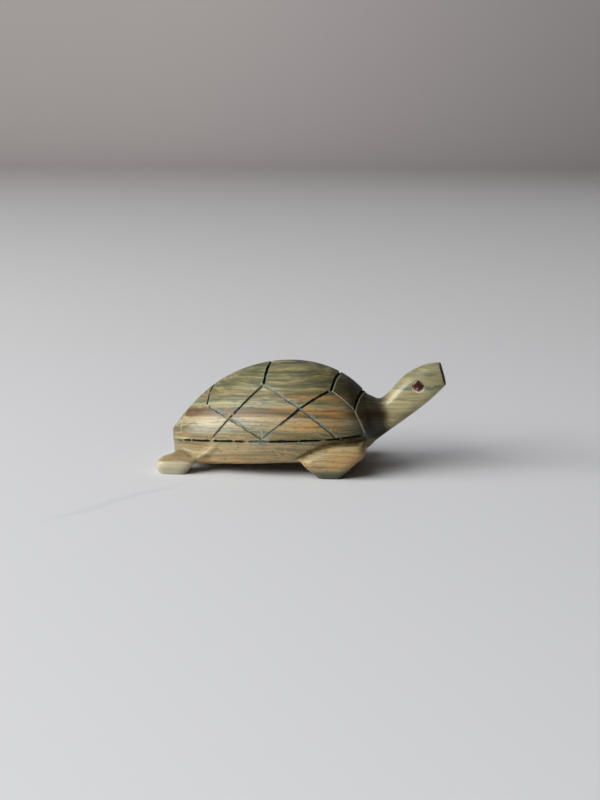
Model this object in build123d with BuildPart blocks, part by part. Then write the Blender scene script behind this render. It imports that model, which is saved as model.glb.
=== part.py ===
from build123d import *

import os
from math import cos, radians, sin, sqrt

# A turtle carved from one block of wood, with two eye pegs glued into blind sockets in its head.
# Sizes are in millimetres. +X runs to the head, +Y to the turtle's left and +Z up. The origin is on the
# surface that the turtle stands on, under the middle of its overall box.

# Shell: a low dome that is steeper in front of its crest than behind it, over a wall that tucks in below
crest_x = -4.0
shell_rear = 38.6
shell_front = 28.0
shell_width = 45.0
dome_height = 22.3
rear_roundness = 1.12
rim_height = 11.5
belly_height = 3.8
belly_round = 1.4
rear_tuck = 1.0
side_tuck = 3.0
front_tuck = 8.0

# Lines cut into the shell: straight ones over the dome, and a long one round it at the rim
groove_width = 0.9
groove_depth = 0.8
blade_slant = 2.5
blade_reach = 7.5
rim_cut_tail_drop = 3.6
rim_cut_flank_drop = 1.7
rim_cut_flank_setback = 6.0
rim_cut_middle_rise = 0.3
rim_cut_front_rise = 0.6

# Neck and head: their underside climbs from the chest to the chin, and sags a little below a straight line
chest_setback = 1.6
chest_height = 8.3
neck_angle = 41.0
neck_roundness = 0.35
root_overlap = 6.0
root_thickness = 15.6
root_width = 21.5
collar_lean = 11.0
collar_thickness = 14.6
collar_width = 16.5
nape_along = 6.4
nape_lean = 22.0
nape_thickness = 10.3
nape_width = 12.6
nape_sag = 0.4
neck_along = 11.1
neck_thickness = 9.7
neck_width = 10.5
neck_sag = 0.8
head_along = 21.0
head_thickness = 11.1
head_width = 10.6
head_sag = 1.3
brow_along = 27.4
brow_thickness = 9.6
brow_width = 9.8
brow_sag = 1.0
snout_along = 32.4
snout_thickness = 6.2
snout_width = 8.4
snout_sag = 0.4
snout_cut_along = 29.585
snout_cut_lean = 16.0

# Eyes
eye_along = 22.9
eye_up = 4.9
eye_diameter = 3.4
socket_depth = 2.6
glue_clearance = 0.05
eye_crown = 0.5

# Front legs: lobes that stand out from the chest and narrow down to their soles
leg_setback = 13.8
leg_root_depth = 12.5
leg_corner_round = 2.0
sole_front_reach = 3.2
sole_length = 6.5
sole_stand_out = -0.1
shin_height = 4.6
shin_front_reach = 8.7
shin_length = 17.5
shin_stand_out = 1.3
elbow_height = 7.6
elbow_front_reach = 11.6
elbow_length = 13.2
elbow_stand_out = 0.6
shoulder_height = 10.4
shoulder_front_reach = 9.6
shoulder_length = 4.2
shoulder_stand_out = -1.9

# Hind feet: paddles that reach back from under the shell, thick at their edge and rising to the haunch
foot_overhang = 2.4
foot_corner_round = 2.6
pad_rear_inset = 0.5
pad_length = 9.3
pad_root_depth = 11.5
pad_stand_out = -2.1
edge_height = 3.0
edge_length = 12.6
edge_root_depth = 12.5
edge_stand_out = -1.7
instep_height = 4.3
instep_rear_inset = 2.8
instep_length = 9.2
instep_root_depth = 13.5
instep_stand_out = -2.8
haunch_height = 6.4
haunch_rear_inset = 7.4
haunch_length = 5.6
haunch_root_depth = 16.5
haunch_stand_out = -11.5

# Places that follow from the sizes above
half_width = shell_width / 2
rim_rear_x = crest_x - shell_rear
rim_front_x = crest_x + shell_front
chest_x = rim_front_x - chest_setback
leg_x = rim_front_x - leg_setback
blade_bite = groove_depth * blade_slant
foot_rear_x = rim_rear_x - foot_overhang

# The most of a section's shorter side that one rounded corner may take
corner_share = 0.45

# Where the shell's level outlines are drawn: shares of the wall's height, and angles up the dome's curve
wall_shares = (0.0, 0.35, 0.75)
dome_angles = (5, 14, 24, 34, 44, 54, 64, 74, 82, 88)


def shell_reach(height, inset):
    """How far the shell reaches to the rear, front and side at a height, drawn in by inset."""
    if height < rim_height:
        depth = (rim_height - height) / (rim_height - belly_height)
        rear = shell_rear - rear_tuck * depth**2 - inset
        front = shell_front - front_tuck * depth**2 - inset
        side = half_width - side_tuck * depth**2 - inset
        return rear, front, side
    level = (height - rim_height) / (dome_height - inset)
    rear = (shell_rear - inset) * sqrt(1 - level**rear_roundness)
    front = (shell_front - inset) * sqrt(1 - level**2)
    side = (half_width - inset) * sqrt(1 - level**2)
    return rear, front, side


def shell_sections(inset):
    """Level outlines of the shell from its belly to its crest, drawn in by inset."""
    heights = [belly_height + (rim_height - belly_height) * share for share in wall_shares]
    heights += [rim_height + (dome_height - inset) * sin(radians(angle)) for angle in dome_angles]
    sections = []
    for height in heights:
        rear, front, side = shell_reach(height, inset)
        with BuildSketch(Plane.XY.offset(height)) as outline:
            with BuildLine():
                EllipticalCenterArc((crest_x, 0), front, side, -90, arc_size=180)
                EllipticalCenterArc((crest_x, 0), rear, side, 90, arc_size=180)
            make_face()
        sections.append(outline.sketch)
    sections.append(Vertex(crest_x, 0, rim_height + dome_height - inset))
    return sections


def shell_point(level, bearing):
    """A point on the right half of the dome: its share of the dome's height, and its bearing from +X."""
    height = rim_height + dome_height * level
    rear, front, side = shell_reach(height, 0)
    reach = front if bearing < 90 else rear
    return Vector(crest_x + reach * cos(radians(bearing)), -side * sin(radians(bearing)), height)


def groove_plane(start, end):
    """A plane halfway along a cut, with its X along the cut and its Z out of the shell."""
    middle = (start + end) * 0.5
    along = (end - start).normalized()
    outward = middle - Vector(middle.X, 0, rim_height)
    outward = (outward - along * outward.dot(along)).normalized()
    return Plane(origin=middle, x_dir=along, z_dir=outward)


def corner_radius(corner_round, length, depth):
    """The radius of a section's corners, limited by the section's shorter side."""
    return min(corner_round, corner_share * min(length, depth))


def throat_point(along, up):
    """A point in the middle plane: how far it is along the throat line, and how far square above it."""
    x = chest_x + along * cos(radians(neck_angle)) - up * sin(radians(neck_angle))
    z = chest_height + along * sin(radians(neck_angle)) + up * cos(radians(neck_angle))
    return Vector(x, 0, z)


def neck_plane(along, lean, thickness, sag):
    """The plane of a neck section that leans back by an angle and hangs below the throat line by its sag."""
    up = Vector(-sin(radians(lean)), 0, cos(radians(lean)))
    forward = Vector(cos(radians(lean)), 0, sin(radians(lean)))
    return Plane(origin=throat_point(along, -sag) + up * (thickness / 2), x_dir=(0, 1, 0), z_dir=forward)


# The shell, and the core that the cuts stop at
shell_outlines = shell_sections(0)
core_outlines = shell_sections(groove_depth)

with BuildPart() as shell:
    loft(sections=shell_outlines)
    fillet(shell.faces().sort_by(Axis.Z)[0].edges(), radius=belly_round)

with BuildPart() as shell_core:
    loft(sections=core_outlines)

# Ends of the cuts on the right half of the shell, along the ridge, the flank and the rim, from tail to nape
ridge_tail = shell_point(0.249, 180)
ridge_rear = shell_point(0.612, 180)
ridge_middle = shell_point(0.968, 180)
ridge_front = shell_point(0.833, 0)
ridge_nape = shell_point(0.575, 0)
flank_rear = shell_point(0.42, 147)
flank_middle = shell_point(0.73, 112)
flank_front = shell_point(0.665, 49)
flank_nape = shell_point(0.39, 35.5)
rim_tail = shell_point(0.0, 153.5)
rim_rear = shell_point(0.0, 125)
rim_middle = shell_point(0.03, 100)
rim_front = shell_point(0.04, 55)
rim_nape = shell_point(0.03, 29.5)

groove_lines = [
    (rim_tail, ridge_tail),
    (flank_rear, ridge_rear),
    (flank_middle, ridge_middle),
    (flank_front, ridge_front),
    (flank_nape, ridge_nape),
    (flank_rear, rim_middle),
    (flank_middle, rim_rear),
    (flank_middle, rim_front),
    (flank_front, rim_middle),
    (flank_front, flank_nape),
    (flank_nape, rim_nape),
]

# Each blade reaches a little below the straight line between its ends and well above it, to clear the dome's curve
with BuildPart() as right_grooves:
    for start, end in groove_lines:
        length = (end - start).length + groove_width
        height = blade_bite + blade_reach
        with Locations(groove_plane(start, end).offset(-blade_bite)):
            Box(length, groove_width, height, align=(Align.CENTER, Align.CENTER, Align.MIN))
    add(shell_core.part, mode=Mode.SUBTRACT)

# The long cut at the rim, from one side of the neck round the tail to the other side
with BuildPart() as rim_groove:
    with BuildSketch(Plane.XZ) as rim_trace:
        with BuildLine() as rim_line:
            Spline(
                (rim_rear_x - groove_width, rim_height - rim_cut_tail_drop),
                (rim_rear_x + rim_cut_flank_setback, rim_height - rim_cut_flank_drop),
                (crest_x, rim_height + rim_cut_middle_rise),
                (rim_nape.X, rim_height + rim_cut_front_rise),
            )
        trace(rim_line.line, line_width=groove_width)
    extrude(amount=shell_width, both=True)
    add(shell_core.part, mode=Mode.SUBTRACT)

# Neck and head, with the snout sawn off flat
neck_sections = [
    (-root_overlap, collar_lean, root_thickness, root_width, 0.0),
    (0.0, collar_lean, collar_thickness, collar_width, 0.0),
    (nape_along, nape_lean, nape_thickness, nape_width, nape_sag),
    (neck_along, neck_angle, neck_thickness, neck_width, neck_sag),
    (head_along, neck_angle, head_thickness, head_width, head_sag),
    (brow_along, neck_angle, brow_thickness, brow_width, brow_sag),
    (snout_along, neck_angle, snout_thickness, snout_width, snout_sag),
]
snout_facing = Vector(cos(radians(snout_cut_lean)), 0, sin(radians(snout_cut_lean)))

with BuildPart() as neck:
    for along, lean, thickness, width, sag in neck_sections:
        with BuildSketch(neck_plane(along, lean, thickness, sag)):
            RectangleRounded(width, thickness, min(width, thickness) * neck_roundness)
    loft()
    split(bisect_by=Plane(origin=throat_point(snout_cut_along, 0), z_dir=snout_facing), keep=Keep.BOTTOM)

# The right front leg, from its sole up to its shoulder
leg_sections = [
    (0.0, sole_front_reach, sole_length, sole_stand_out),
    (shin_height, shin_front_reach, shin_length, shin_stand_out),
    (elbow_height, elbow_front_reach, elbow_length, elbow_stand_out),
    (shoulder_height, shoulder_front_reach, shoulder_length, shoulder_stand_out),
]

with BuildPart() as right_front_leg:
    for height, front_reach, length, stand_out in leg_sections:
        middle_y = half_width + (stand_out - leg_root_depth) / 2
        depth = stand_out + leg_root_depth
        with BuildSketch(Plane.XY.offset(height)):
            with Locations((leg_x + front_reach - length / 2, -middle_y)):
                RectangleRounded(length, depth, corner_radius(leg_corner_round, length, depth))
    loft()

# The right hind foot, from its sole up to the haunch inside the shell
foot_sections = [
    (0.0, pad_rear_inset, pad_length, pad_root_depth, pad_stand_out),
    (edge_height, 0.0, edge_length, edge_root_depth, edge_stand_out),
    (instep_height, instep_rear_inset, instep_length, instep_root_depth, instep_stand_out),
    (haunch_height, haunch_rear_inset, haunch_length, haunch_root_depth, haunch_stand_out),
]

with BuildPart() as right_hind_foot:
    for height, rear_inset, length, root_depth, stand_out in foot_sections:
        middle_y = half_width + (stand_out - root_depth) / 2
        depth = stand_out + root_depth
        with BuildSketch(Plane.XY.offset(height)):
            with Locations((foot_rear_x + rear_inset + length / 2, -middle_y)):
                RectangleRounded(length, depth, corner_radius(foot_corner_round, length, depth))
    loft(ruled=True)

# The carved body
eye_centre = throat_point(eye_along, eye_up)
eye_radius = eye_diameter / 2
socket_floor = head_width / 2 - socket_depth

with BuildPart() as carved_body:
    add(shell.part)
    add(neck.part)
    for limb in (right_front_leg.part, right_hind_foot.part):
        add(limb)
        mirror(limb, about=Plane.XZ)
    add(rim_groove.part, mode=Mode.SUBTRACT)
    add(right_grooves.part, mode=Mode.SUBTRACT)
    mirror(right_grooves.part, about=Plane.XZ, mode=Mode.SUBTRACT)
    for side in (-1, 1):
        floor_centre = (eye_centre.X, side * socket_floor, eye_centre.Z)
        with BuildSketch(Plane(origin=floor_centre, x_dir=(1, 0, 0), z_dir=(0, side, 0))):
            Circle(eye_radius)
        extrude(amount=head_width, mode=Mode.SUBTRACT)

os.makedirs("parts", exist_ok=True)
carved_body.part.label = "carved_body"
export_step(carved_body.part, "parts/carved_body.step")

# The eye pegs, each a shank under a low crown, seated on the floor of its socket
shank_radius = eye_radius - glue_clearance
peg_length = socket_depth + eye_crown
crown_radius = (shank_radius**2 + eye_crown**2) / (2 * eye_crown)

for name, side in (("right_eye_peg", -1), ("left_eye_peg", 1)):
    floor_centre = (eye_centre.X, side * socket_floor, eye_centre.Z)
    with BuildPart() as eye_peg:
        with BuildSketch(Plane(origin=floor_centre, x_dir=(1, 0, 0), z_dir=(0, 0, side))):
            with BuildLine():
                Polyline((0, peg_length), (0, 0), (shank_radius, 0), (shank_radius, socket_depth))
                RadiusArc((shank_radius, socket_depth), (0, peg_length), -crown_radius)
            make_face()
        revolve(axis=Axis(floor_centre, (0, side, 0)))
    eye_peg.part.label = name
    export_step(eye_peg.part, f"parts/{name}.step")
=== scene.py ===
"""Looks of a small turtle carved from one block of streaked, oily olive-brown wood, with inlaid eye pegs.

The carving is modelled in millimetres from plain forms: shell, neck, front legs, hind feet and thighs.
These are merged, smoothed, gouged beside the legs, sawn flat at the snout and the soles, drilled for the
eyes and scored with the shell's cut lines. Every finished mesh is then brought to metres in the frame of
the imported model: +X to the head, +Y to the turtle's left, +Z up.
"""

from __future__ import annotations

import logging
import math
from dataclasses import astuple, dataclass, field
from enum import Enum, IntEnum
from typing import Optional, Union

import bmesh
import bpy
from mathutils import Matrix, Vector, noise

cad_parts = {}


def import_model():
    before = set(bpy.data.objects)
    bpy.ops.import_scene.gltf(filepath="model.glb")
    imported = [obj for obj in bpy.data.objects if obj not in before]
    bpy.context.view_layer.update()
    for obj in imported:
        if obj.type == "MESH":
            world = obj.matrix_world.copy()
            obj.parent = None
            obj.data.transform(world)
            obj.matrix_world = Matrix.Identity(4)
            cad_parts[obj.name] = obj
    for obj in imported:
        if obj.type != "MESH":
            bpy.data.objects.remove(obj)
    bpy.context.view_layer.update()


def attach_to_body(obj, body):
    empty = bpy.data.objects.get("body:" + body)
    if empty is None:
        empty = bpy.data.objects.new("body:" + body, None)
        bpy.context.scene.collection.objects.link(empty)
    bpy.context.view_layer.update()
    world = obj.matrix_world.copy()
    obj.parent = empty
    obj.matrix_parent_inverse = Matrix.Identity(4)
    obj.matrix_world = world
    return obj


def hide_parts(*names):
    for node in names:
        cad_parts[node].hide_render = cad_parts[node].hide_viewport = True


LOG = logging.getLogger("turtle")
METRES_PER_MM = 0.001

# The values that the cuts leave on the points of the carved mesh, which its material reads
MARK_NAMES = ("soot", "dust", "bare")

ORIGIN = Vector((0.0, 0.0, 0.0))
UP = Vector((0.0, 0.0, 1.0))

Triple = tuple[float, float, float]
ScreenColour = tuple[int, int, int]
Operand = Union["Signal", float, tuple]


class Side(IntEnum):
    """A side of the turtle, by the sign of Y."""

    RIGHT = -1
    LEFT = 1


def smooth_step(low: float, high: float, value: float) -> float:
    """A soft step of a value, from 0 at low to 1 at high."""
    share = min(max((value - low) / (high - low), 0.0), 1.0)
    return share * share * (3.0 - 2.0 * share)


def stray(place: float, lane: float, row: float) -> float:
    """Smooth noise from about -1 to 1 along a place, different in each lane and row."""
    return noise.noise(Vector((place, lane, row)))


def linear_channel(level: int) -> float:
    """One channel of a screen colour, from 0 to 255, on the linear scale that shaders use."""
    share = level / 255.0
    return share / 12.92 if share <= 0.04045 else ((share + 0.055) / 1.055) ** 2.4


class Curve:
    """A smooth line through rows of values, for sections that change along a form.

    The first value of a row is its station, the place along the form.
    """

    def __init__(self, *rows: tuple[float, ...]) -> None:
        """Keeps the rows and works out their slopes.

        Args:
            rows: The rows, in the order of their stations.
        """
        self.rows = rows
        columns = range(len(rows[0]))
        self.slopes = [[self.slope(index, column) for column in columns] for index in range(len(rows))]

    def slope(self, index: int, column: int) -> float:
        """The slope of one column at a row, flat where the values turn, so that nothing overshoots.

        Args:
            index: Which row.
            column: Which of its values.

        Returns:
            The slope.
        """
        near = self.rows[max(index - 1, 0) : index + 2]
        slopes = [(high[column] - low[column]) / (high[0] - low[0]) for low, high in zip(near, near[1:])]
        if len(slopes) == 1:
            return slopes[0]
        before, after = slopes
        return 0.0 if before * after <= 0.0 else 2.0 * before * after / (before + after)

    def at(self, place: float) -> tuple[float, ...]:
        """The values at a place.

        Args:
            place: Where along the form.

        Returns:
            The values there, without the station.
        """
        index = 0
        while index < len(self.rows) - 2 and place > self.rows[index + 1][0]:
            index += 1
        low, high = self.rows[index], self.rows[index + 1]
        run = high[0] - low[0]
        share = min(max((place - low[0]) / run, 0.0), 1.0)
        square, cube = share * share, share * share * share
        values = []
        for column in range(1, len(low)):
            value = (2.0 * cube - 3.0 * square + 1.0) * low[column]
            value += (cube - 2.0 * square + share) * run * self.slopes[index][column]
            value += (3.0 * square - 2.0 * cube) * high[column]
            value += (cube - square) * run * self.slopes[index + 1][column]
            values.append(value)
        return tuple(values)

    def spread(self, steps: int) -> list[tuple[float, ...]]:
        """Rows at even steps from the first station to the last.

        Args:
            steps: How many steps there are.

        Returns:
            The rows, each with its station first.
        """
        first, last = self.rows[0][0], self.rows[-1][0]
        places = [first + (last - first) * step / steps for step in range(steps + 1)]
        return [(place, *self.at(place)) for place in places]


class Signal:
    """A value on a node's socket. Arithmetic on it adds Math nodes to its tree."""

    def __init__(self, bench: Bench, socket: bpy.types.NodeSocket) -> None:
        """Keeps the bench and the socket."""
        self.bench = bench
        self.socket = socket

    def math(self, operation: str, first: Operand, second: Operand = 0.0, clamp: bool = False) -> Signal:
        """Adds one Math node on two values, with its result kept from 0 to 1 if clamp is set."""
        settings = {"operation": operation, "use_clamp": clamp}
        return self.bench.node("ShaderNodeMath", settings, {0: first, 1: second})

    def __add__(self, other: Operand) -> Signal:
        """This plus another value."""
        return self.math("ADD", self, other)

    def __radd__(self, other: Operand) -> Signal:
        """Another value plus this."""
        return self.math("ADD", other, self)

    def __sub__(self, other: Operand) -> Signal:
        """This less another value."""
        return self.math("SUBTRACT", self, other)

    def __rsub__(self, other: Operand) -> Signal:
        """Another value less this."""
        return self.math("SUBTRACT", other, self)

    def __mul__(self, other: Operand) -> Signal:
        """This times another value."""
        return self.math("MULTIPLY", self, other)

    def __rmul__(self, other: Operand) -> Signal:
        """Another value times this."""
        return self.math("MULTIPLY", other, self)

    def __truediv__(self, other: Operand) -> Signal:
        """This divided by another value."""
        return self.math("DIVIDE", self, other)

    def __pow__(self, other: Operand) -> Signal:
        """This to a power."""
        return self.math("POWER", self, other)

    def absolute(self) -> Signal:
        """This value without its sign."""
        return self.math("ABSOLUTE", self)

    def clamped(self) -> Signal:
        """This value kept from 0 to 1."""
        return self.math("ADD", self, 0.0, True)

    def wave(self) -> Signal:
        """A wave from 0 to 1, with one crest for each whole step of this value."""
        return self.math("SINE", self * math.tau) * 0.5 + 0.5

    def diagonal(self, other: Signal) -> Signal:
        """The length of the diagonal over this and another value."""
        return (self * self + other * other) ** 0.5

    def ramp(self, low: float, high: float) -> Signal:
        """A soft step of this value.

        Args:
            low: The value that gives 0.
            high: The value that gives 1.

        Returns:
            The step, from 0 to 1.
        """
        settings = {"interpolation_type": "SMOOTHSTEP"}
        inputs = {"Value": self, "From Min": low, "From Max": high, "To Min": 0.0, "To Max": 1.0}
        return self.bench.node("ShaderNodeMapRange", settings, inputs)

    def band(self, low: float, full_from: float, full_to: float, high: float) -> Signal:
        """A soft band of this value, full between the inner two values and gone outside the outer two."""
        return self.ramp(low, full_from) * self.ramp(high, full_to)


class Bench:
    """A material's node tree, with one method that adds any node to it.

    It also keeps the place on the piece in millimetres and the base colour so far.
    """

    def __init__(self, name: str) -> None:
        """Starts an empty material.

        Args:
            name: The material's name.
        """
        self.material = bpy.data.materials.new(name)
        self.material.use_nodes = True
        self.tree = self.material.node_tree
        self.tree.nodes.clear()
        self.base: Operand = (0, 0, 0)
        scale = 1.0 / METRES_PER_MM
        corner = self.node("ShaderNodeTexCoord", output="Object")
        self.place = self.vector("MULTIPLY", corner, (scale, scale, scale))
        outputs = self.node("ShaderNodeSeparateXYZ", None, {0: self.place}).socket.node.outputs
        self.x, self.y, self.z = [Signal(self, socket) for socket in outputs]

    def node(
        self,
        kind: str,
        settings: Optional[dict] = None,
        inputs: Optional[dict] = None,
        output: Union[int, str] = 0,
    ) -> Signal:
        """Adds a node.

        Args:
            kind: The node's type.
            settings: Its own settings, set first. A ramp's stops are rows of a place and a screen colour.
            inputs: Values or signals for its sockets, by name or number.
            output: Which output is wanted.

        Returns:
            That output, or the first input of a node that has no outputs.
        """
        node = self.tree.nodes.new(kind)
        for key, value in (settings or {}).items():
            if key == "stops":
                self.set_stops(node.color_ramp, value)
            else:
                setattr(node, key, value)
        for key, value in (inputs or {}).items():
            if isinstance(value, Signal):
                self.tree.links.new(value.socket, node.inputs[key])
            else:
                node.inputs[key].default_value = value
        return Signal(self, node.outputs[output]) if node.outputs else Signal(self, node.inputs[0])

    def set_stops(self, ramp: bpy.types.ColorRamp, stops: tuple[tuple[float, ...], ...]) -> None:
        """Gives a colour ramp its stops.

        Args:
            ramp: The ramp.
            stops: Rows of a place from 0 to 1 and a screen colour.
        """
        while len(ramp.elements) < len(stops):
            ramp.elements.new(1.0)
        for element, (place, *colour) in zip(ramp.elements, stops):
            element.position = place
            element.color = self.colour(colour)

    def colour(self, value: Operand) -> Operand:
        """A screen colour as a linear one with its alpha, or a signal as it is."""
        return value if isinstance(value, Signal) else (*map(linear_channel, value), 1.0)

    def mix(self, factor: Operand, first: Operand, second: Operand) -> Signal:
        """Mixes two colours, each a signal or a screen colour, by the share of the second one."""
        sockets = {0: factor, 6: self.colour(first), 7: self.colour(second)}
        return self.node("ShaderNodeMix", {"data_type": "RGBA"}, sockets, 2)

    def lay(self, factor: Operand, colour: Operand) -> None:
        """Lays a colour over the base colour by a share."""
        self.base = self.mix(factor, self.base, colour)

    def vector(self, operation: str, first: Operand, second: Operand) -> Signal:
        """Adds a Vector Math node on two vectors."""
        return self.node("ShaderNodeVectorMath", {"operation": operation}, {0: first, 1: second})

    def join(self, x: Operand, y: Operand, z: Operand) -> Signal:
        """A vector of three numbers."""
        return self.node("ShaderNodeCombineXYZ", None, {0: x, 1: y, 2: z})

    def noise(self, place: Signal, stretch: Triple, detail: float = 2.0, roughness: float = 0.5) -> Signal:
        """Noise from 0 to 1, stretched.

        Args:
            place: Where it is read, in millimetres.
            stretch: Waves for each millimetre along X, Y and Z.
            detail: How many finer layers it has.
            roughness: How strong these are.

        Returns:
            The noise.
        """
        spot = self.vector("MULTIPLY", place, stretch)
        inputs = {"Vector": spot, "Scale": 1.0, "Detail": detail, "Roughness": roughness}
        return self.node("ShaderNodeTexNoise", None, inputs)

    def attribute(self, name: str) -> Signal:
        """A value that the mesh carries."""
        settings = {"attribute_type": "GEOMETRY", "attribute_name": name}
        return self.node("ShaderNodeAttribute", settings, None, "Fac")

    def bump(self, height: Signal, strength: float, distance: float) -> Signal:
        """The normal of a surface with a height on it. The distance is in metres."""
        inputs = {"Strength": strength, "Distance": distance, "Height": height}
        return self.node("ShaderNodeBump", None, inputs)

    def surface(self, rough: Signal, **inputs: Operand) -> Signal:
        """A shader with the base colour, a roughness, and other inputs by name."""
        sockets = {"Base Color": self.base, "Roughness": rough, **inputs}
        return self.node("ShaderNodeBsdfPrincipled", None, sockets)

    def finish(self, shader: Signal) -> bpy.types.Material:
        """Puts a shader on the surface and gives back the material."""
        self.node("ShaderNodeOutputMaterial", None, {"Surface": shader})
        return self.material


# The wood's layers from the soles up to the crest: the share of the height, and red, green and blue. The
# cream layer near half the height also paints the shine over it, and the darker layers near the crest also
# paint the shade on the shell's top.
LAYER_STOPS = (
    (0.000, 58, 64, 48),
    (0.030, 80, 84, 62),
    (0.060, 146, 132, 98),
    (0.095, 166, 136, 90),
    (0.174, 145, 126, 88),
    (0.254, 150, 132, 96),
    (0.332, 122, 105, 65),
    (0.377, 114, 106, 76),
    (0.425, 150, 144, 111),
    (0.481, 172, 154, 117),
    (0.516, 122, 99, 68),
    (0.543, 96, 72, 46),
    (0.572, 131, 113, 76),
    (0.592, 138, 134, 102),
    (0.622, 112, 116, 90),
    (0.660, 118, 107, 76),
    (0.690, 104, 94, 62),
    (0.722, 118, 107, 71),
    (0.752, 112, 107, 75),
    (0.780, 98, 94, 66),
    (0.809, 100, 94, 66),
    (0.842, 126, 120, 84),
    (0.866, 104, 101, 67),
    (0.898, 94, 91, 61),
    (0.930, 118, 112, 76),
    (0.955, 86, 84, 56),
    (1.000, 64, 64, 46),
)


@dataclass(frozen=True)
class Lens:
    """An oval in the wood, seen from the side: its middle and its half sizes along X and Z.

    The middle of an eye blot is counted from the eye.
    """

    x: float
    z: float
    length: float
    height: float


@dataclass(frozen=True)
class Grain:
    """A place in the grown wood: with its bent height, that height alone, and how figured it is."""

    place: Signal
    height: Signal
    patches: Signal


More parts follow.
